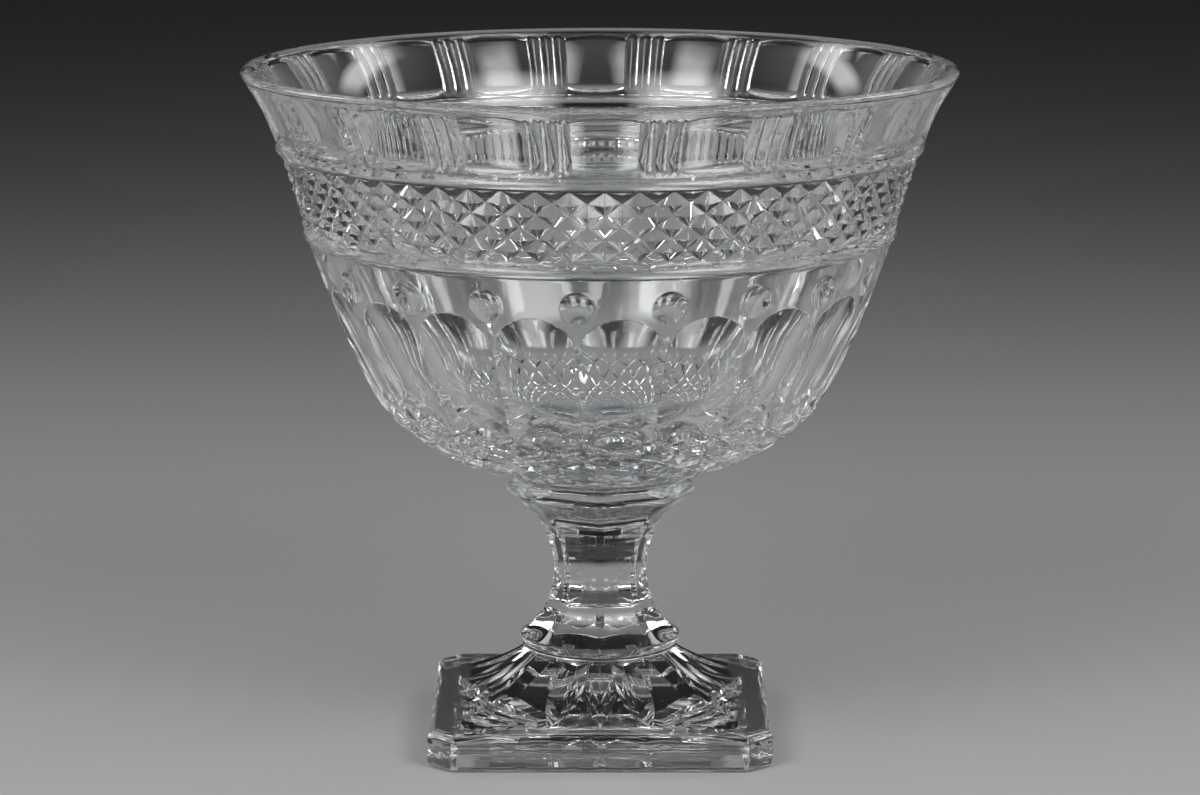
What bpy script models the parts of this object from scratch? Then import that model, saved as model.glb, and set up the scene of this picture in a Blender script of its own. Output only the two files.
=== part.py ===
"""Footed fruit bowl of clear pressed glass.

Two pressings, an open patterned bowl and a square pedestal foot, are joined by a thin clear film.
Lengths are in metres and angles in degrees. The origin is on the table under the middle of the
foot, +Z is up, and the front of the object faces -Y.
"""
import math

import bmesh
import bpy

# Overall sizes
RIM_RADIUS = 0.115
BOWL_HEIGHT = 0.134
FOOT_HEIGHT = 0.084
BOND_THICKNESS = 0.0004
BOND_INSET = 0.0005
SEAT_GAP = 0.0003

# Outline of the bowl: radii at drops below the rim, then at rises above the pad
FLARE_RADIUS = 0.1073
FLARE_DROP = 0.015
BELT_RADIUS = 0.1002
BELT_DROP = 0.035
FLANK_RADIUS = 0.0928
FLANK_DROP = 0.059
HAUNCH_RADIUS = 0.0814
HAUNCH_DROP = 0.089
SHOULDER_RADIUS = 0.0696
SHOULDER_RISE = 0.0232
KEEL_RADIUS = 0.0503
KEEL_RISE = 0.0085
NECK_RADIUS = 0.0290
NECK_RISE = 0.0018
PAD_RADIUS = 0.0275

# Glass thickness square to the outside, and at the middle of the floor
LIP_THICKNESS = 0.005
FLARE_WALL = 0.0062
BELT_WALL = 0.0072
FLANK_WALL = 0.0078
HAUNCH_WALL = 0.0088
SHOULDER_WALL = 0.0105
FLOOR_THICKNESS = 0.0125
FLOOR_RADIUS = 0.030
FLOOR_DISH = 0.0015

# Bands of the pattern, from the rim down
PANELS = 20
LIP_HEIGHT = 0.0032
LIP_ROUND = 0.0016
WINDOW_HEIGHT = 0.0188
WINDOW_END = 0.0022
WINDOW_DEPTH = 0.0020
RIBS = 3
RIB_PITCH = 2.37
RIB_DEPTH = 0.0012
RING_LAND = 0.0006
RING_GROOVE = 0.0014
RING_BEAD = 0.0029
RING_RELIEF = 0.0008
DIAMONDS_PER_PANEL = 3
DIAMOND_ROWS = 6
DIAMOND_ROW_HEIGHT = 0.00375
DIAMOND_DEPTH = 0.0018
DIMPLE_RADIUS = 0.0052
DIMPLE_DEPTH = 0.0016
DIMPLE_DROP = 0.0084
ARCH_DROP = 0.012
ARCH_RISE = 0.0125
ARCH_LAND = 0.0005
FLUTE_DEPTH = 0.0040
FLUTE_END_DEPTH = 0.0026
LATTICE_ROWS = 10
LATTICE_RISE = 0.0276
LATTICE_DEPTH = 0.0016
LATTICE_SINK = 0.0008
BOWL_TURN = 0.8

# Stem, with radii over the corners of its eight sides
SIDES = 8
COLLAR_RADIUS = 0.0309
COLLAR_DROP = 0.0033
COLLAR_TOP_RADIUS = 0.0286
WAIST_RADIUS = 0.0155
WAIST_RISE = 0.0230
SKIRT_RADIUS = 0.0260
SKIRT_RISE = 0.0038
SKIRT_TUCK = 0.0016
THROAT_RADIUS = 0.0225
FLARE_POWER = 2.2

# Square base
BASE_WIDTH = 0.110
BASE_THICKNESS = 0.012
BASE_CHAMFER = 0.0077
BASE_EDGE = 0.0008
LEDGE_WIDTH = 0.0075
SLOPE_RISE = 0.0157
SLOPE_POWER = 1.7
LEAF_ANGLE = 19.5
LEAF_HALF_ANGLE = 6.5
LEAF_DEPTH = 0.0022

# Fineness of the round forms
PLAIN_COLUMNS = 60
INNER_ROWS = 14
CURVE_STEPS = 16
LIP_STEPS = 4
DIMPLE_STEPS = 2
FLUTE_SHARES = (0.0, 0.1, 0.27, 0.5, 0.78, 0.92, 1.0)
SLOPE_STEPS = 6
STEM_SHARES = (0.2, 0.38, 0.54, 0.68, 0.8, 0.91)
BOND_SIDES = 48
SHARP_ANGLE = 16.0

# Places in the bowl, above its pad
PANEL_ANGLE = 360 / PANELS
COLUMNS = 2 * PANELS * DIAMONDS_PER_PANEL
FLUTE_TURN = 360 / COLUMNS
WINDOW_TOP = BOWL_HEIGHT - LIP_HEIGHT
WINDOW_BOTTOM = WINDOW_TOP - WINDOW_HEIGHT
RING_HEIGHT = 2 * RING_LAND + RING_GROOVE + RING_BEAD
DIAMOND_TOP = WINDOW_BOTTOM - RING_HEIGHT
DIAMOND_BOTTOM = DIAMOND_TOP - DIAMOND_ROWS * DIAMOND_ROW_HEIGHT
BAND_TOP = DIAMOND_BOTTOM - RING_HEIGHT
DIMPLE_HEIGHT = BAND_TOP - DIMPLE_DROP
ARCH_TOP = BAND_TOP - ARCH_DROP

# Places in the foot, above the table
THROAT_HEIGHT = BASE_THICKNESS + SLOPE_RISE
SKIRT_HEIGHT = THROAT_HEIGHT + SKIRT_RISE
WAIST_HEIGHT = SKIRT_HEIGHT + WAIST_RISE
COLLAR_HEIGHT = FOOT_HEIGHT - COLLAR_DROP
COLLAR_FLAT = COLLAR_TOP_RADIUS * math.cos(math.pi / SIDES)

# Places of the film and of the bowl on top of it
BOND_RADIUS = min(PAD_RADIUS, COLLAR_FLAT) - BOND_INSET
BOND_HEIGHT = FOOT_HEIGHT + SEAT_GAP
PAD_HEIGHT = BOND_HEIGHT + BOND_THICKNESS + SEAT_GAP


def mix(a, b, share):
    return a + (b - a) * share


def curve_through(points, steps):
    """Points of a smooth curve through the given (radius, height) points."""
    before_first = [2 * a - b for a, b in zip(points[0], points[1])]
    after_last = [2 * a - b for a, b in zip(points[-1], points[-2])]
    stops = [before_first, *points, after_last]
    curve = []
    for before, start, end, after in zip(stops, stops[1:], stops[2:], stops[3:]):
        for step in range(steps):
            t = step / steps
            curve.append(tuple(
                b + 0.5 * t * (c - a + t * (2 * a - 5 * b + 4 * c - d + t * (3 * b - a - 3 * c + d)))
                for a, b, c, d in zip(before, start, end, after)))
    curve.append(tuple(points[-1]))
    return curve


def at_height(curve, height):
    """Radius of a falling curve at a height."""
    for (r0, z0), (r1, z1) in zip(curve, curve[1:]):
        if z1 <= height < z0:
            return mix(r0, r1, (z0 - height) / (z0 - z1))
    return curve[0][0] if height >= curve[0][1] else curve[-1][0]


def even_points(curve, count):
    """Points that split a curve into equal lengths."""
    lengths = [math.dist(a, b) for a, b in zip(curve, curve[1:])]
    points = [curve[0]]
    part = sum(lengths) / count
    gone = 0.0
    for start, end, length in zip(curve, curve[1:], lengths):
        while len(points) < count and gone + length >= part * len(points):
            share = (part * len(points) - gone) / length
            points.append(tuple(mix(a, b, share) for a, b in zip(start, end)))
        gone += length
    return [*points, curve[-1]]


def sunk(curve, index, depth):
    """A point of a falling curve, moved square to the curve into the glass."""
    (r0, z0), (r1, z1) = curve[max(index - 1, 0)], curve[min(index + 1, len(curve) - 1)]
    length = math.hypot(r1 - r0, z1 - z0)
    radius, height = curve[index]
    return radius + depth * (z1 - z0) / length, height + depth * (r0 - r1) / length


class Row:
    """A closed ring of vertices in order of their angle, which runs from the front towards +X."""

    def __init__(self, verts, angles):
        self.verts = verts
        self.angles = angles

    def __len__(self):
        return len(self.verts)

    def vert(self, i):
        return self.verts[i % len(self)]

    def angle(self, i):
        return self.angles[i % len(self)] + 360 * (i // len(self))


def polar_vert(bm, angle, radius, height):
    turn = math.radians(angle)
    return bm.verts.new((radius * math.sin(turn), -radius * math.cos(turn), height))


def polar_row(bm, points):
    verts = [polar_vert(bm, *point) for point in points]
    return Row(verts, [angle for angle, _, _ in points])


def round_row(bm, count, radius, height):
    return polar_row(bm, [(360 * i / count, radius, height) for i in range(count)])


def stitch(bm, upper, lower):
    """Faces between two rings that may differ in their number of vertices."""
    i = j = 0
    while i < len(upper) or j < len(lower):
        upper_next = (upper.angle(i) + upper.angle(i + 1)) / 2
        lower_next = (lower.angle(j) + lower.angle(j + 1)) / 2
        if j == len(lower) or (i < len(upper) and upper_next <= lower_next):
            bm.faces.new((upper.vert(i), lower.vert(j), upper.vert(i + 1)))
            i += 1
        else:
            bm.faces.new((upper.vert(i), lower.vert(j), lower.vert(j + 1)))
            j += 1


def facet(bm, upper, lower, low_first):
    """Faces between two rings of pointed facets, creased from one low vertex to the next."""
    for i in range(len(upper)):
        a, b = upper.vert(i), upper.vert(i + 1)
        c, d = lower.vert(i + 1), lower.vert(i)
        if (i % 2 == 0) == low_first:
            bm.faces.new((a, d, c))
            bm.faces.new((a, c, b))
        else:
            bm.faces.new((a, d, b))
            bm.faces.new((d, c, b))


def outer_outline():
    """The outside of the bowl over the tips of its pattern, from the lip down to the neck."""
    return curve_through([
        (RIM_RADIUS, BOWL_HEIGHT - LIP_ROUND),
        (FLARE_RADIUS, BOWL_HEIGHT - FLARE_DROP),
        (BELT_RADIUS, BOWL_HEIGHT - BELT_DROP),
        (FLANK_RADIUS, BOWL_HEIGHT - FLANK_DROP),
        (HAUNCH_RADIUS, BOWL_HEIGHT - HAUNCH_DROP),
        (SHOULDER_RADIUS, SHOULDER_RISE),
        (KEEL_RADIUS, KEEL_RISE),
        (NECK_RADIUS, NECK_RISE),
    ], CURVE_STEPS)


def inner_outline(outline):
    """The smooth inside of the bowl, from the lip down to the middle of the floor."""
    points = [(RIM_RADIUS - LIP_THICKNESS, BOWL_HEIGHT - LIP_ROUND)]
    walls = (FLARE_WALL, BELT_WALL, FLANK_WALL, HAUNCH_WALL, SHOULDER_WALL)
    for stop, wall in enumerate(walls, start=1):
        points.append(sunk(outline, stop * CURVE_STEPS, wall))
    points.append((FLOOR_RADIUS, FLOOR_THICKNESS + FLOOR_DISH))
    points.append((0.0, FLOOR_THICKNESS))
    return curve_through(points, CURVE_STEPS)


def inner_rows(bm, outline):
    """Rings up the inside, from the one round the middle of the floor to the one under the lip."""
    levels = even_points(inner_outline(outline), INNER_ROWS)[1:-1]
    return [round_row(bm, PLAIN_COLUMNS, radius, height) for radius, height in reversed(levels)]


def lip_rows(bm):
    """Rings over the rounded lip, from the inside to the outside."""
    middle = RIM_RADIUS - LIP_THICKNESS / 2
    rows = []
    for step in range(LIP_STEPS + 1):
        turn = math.pi * (1 - step / LIP_STEPS)
        radius = middle + LIP_THICKNESS / 2 * math.cos(turn)
        height = BOWL_HEIGHT - LIP_ROUND * (1 - math.sin(turn))
        rows.append(round_row(bm, COLUMNS, radius, height))
    return rows


def window_rows(bm, outline):
    """The top band: a dished window and a group of upright ribs on each panel."""
    edge = (PANEL_ANGLE - RIBS * RIB_PITCH) / 2
    dish = mix(RIB_DEPTH, WINDOW_DEPTH, 0.75)
    shape = [(-edge, RIB_DEPTH), (-edge / 2, dish), (0.0, WINDOW_DEPTH), (edge / 2, dish), (edge, RIB_DEPTH)]
    for rib in range(RIBS):
        shape.append((edge + (rib + 0.5) * RIB_PITCH, 0.0))
        shape.append((edge + (rib + 1) * RIB_PITCH, RIB_DEPTH))
    shape.pop()
    shape = [(turn + edge, depth) for turn, depth in shape]
    rows = []
    for height, share in ((WINDOW_TOP, 0), (WINDOW_TOP - WINDOW_END, 1),
                          (WINDOW_BOTTOM + WINDOW_END, 1), (WINDOW_BOTTOM, 0)):
        radius = at_height(outline, height)
        rows.append(polar_row(bm, [
            (panel * PANEL_ANGLE + turn - edge, radius - share * depth, height)
            for panel in range(PANELS) for turn, depth in shape]))
    return rows


def ring_rows(bm, outline, top):
    """A plain land, a groove and a raised bead right round the bowl."""
    bead = RING_LAND + RING_GROOVE
    levels = ((RING_LAND, 0.0), (RING_LAND + RING_GROOVE / 2, RING_RELIEF), (bead, 0.0),
              (bead + RING_BEAD / 2, -RING_RELIEF), (bead + RING_BEAD, 0.0))
    return [round_row(bm, PLAIN_COLUMNS, at_height(outline, top - drop) - depth, top - drop)
            for drop, depth in levels]


def diamond_rows(bm, outline):
    """Four-sided points in staggered rows, with their tips on the outline and low corners between."""
    rows = []
    for k in range(DIAMOND_ROWS + 1):
        height = DIAMOND_TOP - k * DIAMOND_ROW_HEIGHT
        radius = at_height(outline, height)
        rows.append(polar_row(bm, [
            (360 * i / COLUMNS, radius - DIAMOND_DEPTH * ((i + k) % 2 == 0), height)
            for i in range(COLUMNS)]))
    return rows


def flute_share(angle):
    """Where an angle lies across its flute, from 0 in the middle to 1 on the ridge."""
    across = (angle - FLUTE_TURN) % PANEL_ANGLE
    return min(across, PANEL_ANGLE - across) / (PANEL_ANGLE / 2)


def arch_edge(u):
    """Height of the arch over a flute."""
    return ARCH_TOP - ARCH_RISE * (1 - math.sqrt(1 - u * u))


def dimple_rows(bm, outline):
    """A round dished hollow above each ridge, between the arches."""
    column = 360 / COLUMNS
    angles = []
    for i in range(COLUMNS):
        angles.append(column * i)
        if max(flute_share(column * i), flute_share(column * (i + 1))) == 1:
            angles.append(column * (i + 0.5))
    rows = []
    for level in range(DIMPLE_STEPS, -DIMPLE_STEPS - 1, -1):
        points = []
        for angle in angles:
            u = flute_share(angle)
            land = arch_edge(u) + (level + DIMPLE_STEPS + 1) * ARCH_LAND
            height = max(DIMPLE_HEIGHT + level / DIMPLE_STEPS * DIMPLE_RADIUS, land)
            radius = at_height(outline, height)
            aside = radius * math.radians((1 - u) * PANEL_ANGLE / 2)
            reach = math.hypot(aside, height - DIMPLE_HEIGHT) / DIMPLE_RADIUS
            points.append((angle, radius - DIMPLE_DEPTH * max(1 - reach * reach, 0), height))
        rows.append(polar_row(bm, points))
    return rows


def flute_rows(bm, outline, levels):
    """Arched hollow flutes, whose lower ends run into the top diamonds of the lattice."""
    tip, node = levels[0][1], levels[1][1]
    spring = ARCH_TOP - ARCH_RISE
    rows = []
    for share in FLUTE_SHARES:
        points = []
        for i in range(COLUMNS):
            u = flute_share(360 * i / COLUMNS)
            height = mix(arch_edge(u), mix(tip, node, u), share)
            v = max(height - spring, 0) / ARCH_RISE
            depth = mix(FLUTE_DEPTH, FLUTE_END_DEPTH, share * share) * max(1 - u * u - v * v, 0)
            if share == FLUTE_SHARES[-1]:
                depth = mix(FLUTE_END_DEPTH, LATTICE_DEPTH, u)
            points.append((360 * i / COLUMNS, at_height(outline, height) - depth, height))
        rows.append(polar_row(bm, points))
    return rows


def lattice_levels(outline):
    """Levels of the lower lattice, evenly spaced down the outside of the bowl to its neck."""
    below = [point for point in outline if point[1] < LATTICE_RISE]
    return even_points([(at_height(outline, LATTICE_RISE), LATTICE_RISE), *below], LATTICE_ROWS)


def add_lattice(bm, levels, flute_ends):
    """Wide four-sided points below the flutes. The top ones hang from the ends of the flutes."""
    step = DIAMONDS_PER_PANEL
    columns = 2 * PANELS
    angles = [360 * (1 + step * j) / COLUMNS for j in range(columns)]
    above = None
    for k in range(1, LATTICE_ROWS + 1):
        verts = []
        for j in range(columns):
            low = (j + k) % 2 == 0
            if low and k == 1:
                verts.append(flute_ends.vert(1 + step * j))
            else:
                depth = LATTICE_DEPTH if low else LATTICE_SINK if k == 1 else 0.0
                verts.append(polar_vert(bm, angles[j], *sunk(levels, k, depth)))
        row = Row(verts, angles)
        if above is None:
            for i in range(COLUMNS):
                tip = verts[2 * (((i + step - 1) % COLUMNS) // (2 * step))]
                bm.faces.new((flute_ends.vert(i), tip, flute_ends.vert(i + 1)))
        else:
            facet(bm, above, row, low_first=k % 2 == 1)
        above = row
    return above


def build_bowl(material):
    bm = bmesh.new()
    outline = outer_outline()
    inside = inner_rows(bm, outline)
    levels = lattice_levels(outline)
    diamonds = diamond_rows(bm, outline)
    flutes = flute_rows(bm, outline, levels)
    above = [*inside, *lip_rows(bm), *window_rows(bm, outline),
             *ring_rows(bm, outline, WINDOW_BOTTOM), diamonds[0]]
    below = [diamonds[-1], *ring_rows(bm, outline, DIAMOND_BOTTOM), *dimple_rows(bm, outline), *flutes]
    for rows in (above, below):
        for upper, lower in zip(rows, rows[1:]):
            stitch(bm, upper, lower)
    for k in range(DIAMOND_ROWS):
        facet(bm, diamonds[k], diamonds[k + 1], low_first=k % 2 == 0)
    lattice_end = add_lattice(bm, levels, flutes[-1])
    pad = polar_row(bm, [(angle, PAD_RADIUS, 0.0) for angle in lattice_end.angles])
    stitch(bm, lattice_end, pad)
    bm.faces.new(pad.verts)
    middle = bm.verts.new((0, 0, FLOOR_THICKNESS))
    for i in range(PLAIN_COLUMNS):
        bm.faces.new((inside[0].vert(i), inside[0].vert(i + 1), middle))
    thing = finish("bowl", bm, material)
    thing.location.z = PAD_HEIGHT
    thing.rotation_euler.z = math.radians(BOWL_TURN)
    return thing


def around(sector):
    """Angles right round the foot from the angles of half a face, which end at 45 degrees."""
    half = [*sector, *[90 - angle for angle in reversed(sector[1:-1])]]
    return [90 * face + angle for face in range(4) for angle in half]


def sector_angles(corner):
    """Columns over half a face: the leaves, their edges and the corner of the face."""
    outer = LEAF_ANGLE + LEAF_HALF_ANGLE
    return [0.0, LEAF_HALF_ANGLE, LEAF_ANGLE - LEAF_HALF_ANGLE, LEAF_ANGLE, outer,
            (outer + corner) / 2, corner, 45.0]


def square_row(bm, half, chamfer, height, leaf_depth=0.0):
    """A ring round a square with cut corners, sunk along the leaves."""
    corner = math.degrees(math.atan2(half - chamfer, half))
    points = []
    for angle in around(sector_angles(corner)):
        turn = math.radians(45 - abs(angle % 90 - 45))
        side = half / math.cos(turn)
        cut = (2 * half - chamfer) / (math.cos(turn) + math.sin(turn))
        across = abs((angle + 45) % 90 - 45)
        leaf = across == 0 or abs(across - LEAF_ANGLE) < 1e-6
        points.append((angle, min(side, cut), height - leaf_depth * leaf))
    return polar_row(bm, points)


def stem_row(bm, radius, height, roundness=0.0):
    """A ring round the eight sides of the stem, or part of the way to a circle."""
    points = []
    for angle in around(sector_angles(45 - LEAF_HALF_ANGLE)):
        within = math.radians(angle % (360 / SIDES) - 180 / SIDES)
        flat = radius * math.cos(math.pi / SIDES) / math.cos(within)
        points.append((angle, mix(flat, radius, roundness), height))
    return polar_row(bm, points)


def base_rows(bm):
    """The plate with its eased edges, the ledge and the slope with its leaves."""
    half = BASE_WIDTH / 2
    eased = half - BASE_EDGE
    eased_chamfer = BASE_CHAMFER - (2 - math.sqrt(2)) * BASE_EDGE
    rows = [
        square_row(bm, eased, eased_chamfer, 0.0),
        square_row(bm, half, BASE_CHAMFER, BASE_EDGE),
        square_row(bm, half, BASE_CHAMFER, BASE_THICKNESS - BASE_EDGE),
        square_row(bm, eased, eased_chamfer, BASE_THICKNESS),
    ]
    ledge = half - LEDGE_WIDTH
    ledge_chamfer = BASE_CHAMFER - (2 - math.sqrt(2)) * LEDGE_WIDTH
    throat = THROAT_RADIUS * math.cos(math.pi / SIDES)
    throat_chamfer = (2 - math.sqrt(2)) * throat
    for step in range(SLOPE_STEPS + 1):
        share = step / SLOPE_STEPS
        rows.append(square_row(
            bm, mix(ledge, throat, share), mix(ledge_chamfer, throat_chamfer, share),
            BASE_THICKNESS + SLOPE_RISE * share ** SLOPE_POWER,
            LEAF_DEPTH * math.sin(math.pi * share)))
    return rows


def stem_rows(bm):
    """The round-bottomed skirt, the waisted shaft and the collar under the bowl."""
    rows = [
        stem_row(bm, SKIRT_RADIUS - SKIRT_TUCK, mix(THROAT_HEIGHT, SKIRT_HEIGHT, 0.4), 1.0),
        stem_row(bm, SKIRT_RADIUS, SKIRT_HEIGHT, 0.5),
    ]
    for share in reversed(STEM_SHARES):
        radius = mix(WAIST_RADIUS, SKIRT_RADIUS, share ** FLARE_POWER)
        rows.append(stem_row(bm, radius, mix(WAIST_HEIGHT, SKIRT_HEIGHT, share)))
    rows.append(stem_row(bm, WAIST_RADIUS, WAIST_HEIGHT))
    for share in STEM_SHARES:
        radius = mix(WAIST_RADIUS, COLLAR_RADIUS, share ** FLARE_POWER)
        rows.append(stem_row(bm, radius, mix(WAIST_HEIGHT, COLLAR_HEIGHT, share)))
    rows.append(stem_row(bm, COLLAR_RADIUS, COLLAR_HEIGHT))
    shoulder = mix(COLLAR_TOP_RADIUS, COLLAR_RADIUS, 0.75)
    rows.append(stem_row(bm, shoulder, mix(COLLAR_HEIGHT, FOOT_HEIGHT, 0.65)))
    rows.append(stem_row(bm, COLLAR_TOP_RADIUS, FOOT_HEIGHT))
    return rows


def build_foot(material):
    bm = bmesh.new()
    rows = [*base_rows(bm), *stem_rows(bm)]
    for lower, upper in zip(rows, rows[1:]):
        for i in range(len(lower)):
            bm.faces.new((lower.vert(i), lower.vert(i + 1), upper.vert(i + 1), upper.vert(i)))
    bm.faces.new(rows[0].verts)
    bm.faces.new(rows[-1].verts)
    return finish("foot", bm, material)


def build_bond(material):
    bm = bmesh.new()
    bmesh.ops.create_cone(bm, cap_ends=True, segments=BOND_SIDES, radius1=BOND_RADIUS,
                          radius2=BOND_RADIUS, depth=BOND_THICKNESS)
    thing = finish("bond", bm, material)
    thing.location.z = BOND_HEIGHT + BOND_THICKNESS / 2
    return thing


def finish(name, bm, material):
    """Turn a closed mesh into a named object, shaded smooth but for its creases."""
    bmesh.ops.recalc_face_normals(bm, faces=bm.faces)
    mesh = bpy.data.meshes.new(name)
    bm.to_mesh(mesh)
    bm.free()
    mesh.shade_smooth()
    mesh.set_sharp_from_angle(angle=math.radians(SHARP_ANGLE))
    mesh.materials.append(material)
    thing = bpy.data.objects.new(name, mesh)
    bpy.context.scene.collection.objects.link(thing)
    return thing


def clear_material(name, colour, roughness, ior):
    material = bpy.data.materials.new(name)
    material.use_nodes = True
    shader = material.node_tree.nodes["Principled BSDF"]
    shader.inputs["Base Color"].default_value = (*colour, 1)
    shader.inputs["Roughness"].default_value = roughness
    shader.inputs["Metallic"].default_value = 0
    shader.inputs["IOR"].default_value = ior
    shader.inputs["Transmission Weight"].default_value = 1
    return material


def main():
    for thing in list(bpy.data.objects):
        bpy.data.objects.remove(thing)
    stand = bpy.data.objects.new("fruit_bowl", None)
    bpy.context.scene.collection.objects.link(stand)
    pieces = (
        build_foot(clear_material("foot_glass", (0.97, 0.98, 0.98), 0.03, 1.52)),
        build_bond(clear_material("clear_adhesive", (0.96, 0.97, 0.95), 0.08, 1.50)),
        build_bowl(clear_material("bowl_glass", (0.97, 0.98, 0.98), 0.02, 1.52)),
    )
    for piece in pieces:
        piece.parent = stand


main()
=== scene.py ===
"""Looks of the footed fruit bowl: its two pressings as fine meshes of clear glass, on a pale floor.

Lengths are in metres and angles in degrees. Angles run from the front, which faces -Y, towards +X.
Lengths along the outside of the bowl run down from its lip, and depths go square into the glass.
"""

import math

import bmesh
import bpy
import numpy as np
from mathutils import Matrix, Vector


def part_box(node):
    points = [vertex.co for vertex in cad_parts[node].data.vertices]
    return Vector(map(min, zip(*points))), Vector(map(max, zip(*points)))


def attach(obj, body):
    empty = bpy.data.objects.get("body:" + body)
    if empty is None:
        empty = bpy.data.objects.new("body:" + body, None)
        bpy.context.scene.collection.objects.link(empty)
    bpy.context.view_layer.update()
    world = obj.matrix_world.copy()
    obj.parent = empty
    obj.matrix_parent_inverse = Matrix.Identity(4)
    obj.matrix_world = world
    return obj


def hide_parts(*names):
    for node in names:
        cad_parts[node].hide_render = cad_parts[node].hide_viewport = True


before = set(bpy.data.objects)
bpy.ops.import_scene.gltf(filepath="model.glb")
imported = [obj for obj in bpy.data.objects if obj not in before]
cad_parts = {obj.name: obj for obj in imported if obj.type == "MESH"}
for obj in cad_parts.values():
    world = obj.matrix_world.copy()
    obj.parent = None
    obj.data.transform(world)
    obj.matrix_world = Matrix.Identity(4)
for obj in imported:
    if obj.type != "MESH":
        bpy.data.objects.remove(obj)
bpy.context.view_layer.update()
BOWL_LOW, BOWL_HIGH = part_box("bowl")
FOOT_LOW, FOOT_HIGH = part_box("foot")
BOND_LOW, BOND_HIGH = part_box("bond")

# Overall sizes, read from the frame
PAD_HEIGHT = BOWL_LOW.z
BOWL_HEIGHT = BOWL_HIGH.z - BOWL_LOW.z
RIM_RADIUS = BOWL_HIGH.x
FOOT_HEIGHT = FOOT_HIGH.z
BASE_HALF = FOOT_HIGH.x
BOND_RADIUS = BOND_HIGH.x
BOND_THICKNESS = BOND_HIGH.z - BOND_LOW.z

# Outline of the bowl: radii at drops below the rim, then at rises above the pad
FLARE_RADIUS, FLARE_DROP = 0.1073, 0.015
BELT_RADIUS, BELT_DROP = 0.1002, 0.035
FLANK_RADIUS, FLANK_DROP = 0.0928, 0.059
HAUNCH_RADIUS, HAUNCH_DROP = 0.0814, 0.089
SHOULDER_RADIUS, SHOULDER_RISE = 0.0696, 0.0232
KEEL_RADIUS, KEEL_RISE = 0.0503, 0.0085
NECK_RADIUS, NECK_RISE = 0.0290, 0.0018
NECK_START = 70
PAD_RADIUS = 0.0278

# Glass thickness from the lip down, square to the outside, and at the middle of the floor
LIP_THICKNESS = 0.005
WALLS = (0.0062, 0.0072, 0.0078, 0.0088, 0.0105)
FLOOR_THICKNESS = 0.0125
FLOOR_RADIUS = 0.030
FLOOR_DISH = 0.0015

# Lip, and the top band of windows with ribs between them
PANELS = 20
PANEL_ANGLE = 360 / PANELS
BOWL_TURN = 0.8
LIP_HEIGHT = 0.0032
LIP_ROUND = 0.0016
WINDOW_HEIGHT = 0.0188
WINDOW_DEPTH = 0.0021
WINDOW_ARCH_POWER = 3.0
RIBS = 3
RIB_PITCH = 2.37
RIB_DEPTH = 0.0012
RIB_TOP_POWER = 1.3
RIB_LOW_POWER = 2.2
END_HEIGHT = 0.0045
END_ARCH = 0.0013
END_SCOOP = 0.0026
END_SCOOP_POWER = 2.5

# The two rings, and the band of diamond points between them
RING_LAND = 0.0006
RING_GROOVE = 0.0014
RING_BEAD = 0.0029
RING_RELIEF = 0.0008
DIAMONDS_PER_PANEL = 3
DIAMOND_ROWS = 6
DIAMOND_ROW_HEIGHT = 0.00375
DIAMOND_DEPTH = 0.0018

# Dimples, the flutes under their arches, and the lattice
DIMPLE_RADIUS = 0.0053
DIMPLE_DEPTH = 0.0025
DIMPLE_DROP = 0.0084
ARCH_DROP = 0.012
ARCH_RISE = 0.0125
ARCH_MARGIN = 0.0014
ARCH_SHALLOW = 0.4
FLUTE_TURN = 3.7
FLUTE_DEPTH = 0.0040
FLUTE_END_DEPTH = 0.0019
FLUTE_RUN = 0.030
RIDGE_END = 0.85
LATTICE_RISE = 0.0276
LATTICE_ROWS = 10
LATTICE_DEPTH = 0.0014
LATTICE_BEVEL = 0.25

# Places in the bowl, above its pad
WINDOW_TOP = BOWL_HEIGHT - LIP_HEIGHT
WINDOW_BOTTOM = WINDOW_TOP - WINDOW_HEIGHT
RING_HEIGHT = 2 * RING_LAND + RING_GROOVE + RING_BEAD
DIAMOND_TOP = WINDOW_BOTTOM - RING_HEIGHT
DIAMOND_BOTTOM = DIAMOND_TOP - DIAMOND_ROWS * DIAMOND_ROW_HEIGHT
BAND_TOP = DIAMOND_BOTTOM - RING_HEIGHT
DIMPLE_HEIGHT = BAND_TOP - DIMPLE_DROP
ARCH_TOP = BAND_TOP - ARCH_DROP
ARCH_SPRING = ARCH_TOP - ARCH_RISE

# Plate of the foot. Its edges ripple in waves, each with a share, a count per turn and a start
BASE_THICKNESS = 0.012
BASE_CHAMFER = 0.0077
BASE_TOP_EDGE = 0.0030
BASE_LOW_EDGE = 0.0018
BASE_RIPPLE = 0.00035
RIPPLE_WAVES = ((0.3, 27, 0.7), (0.2, 44, 2.1))
BASE_MOTTLE = 0.0001
MOTTLE_EDGE = 0.1
MOTTLE_PER_DEGREE = 7.1
MOTTLE_PER_METRE = 9000
CHAMFER_SHRINK = 2 - math.sqrt(2)

# Slope of the foot and its leaves. A leaf's half width is given at shares of the way up
LEDGE_WIDTH = 0.0075
SLOPE_RISE = 0.0157
SLOPE_POWER = 1.8
SLOPE_START = 0.15
HIP_CHAMFER = 0.005
LEAF_ANGLE = 19.5
LEAF_OUTLINE = ((0.0, 0.0002), (0.09, 0.0005), (0.27, 0.0025), (0.37, 0.0036),
                (0.53, 0.0045), (0.66, 0.0047), (0.79, 0.0042), (1.0, 0.0033))
LEAF_SLOPE = 0.5
LEAF_CREASE = 0.35

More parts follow.
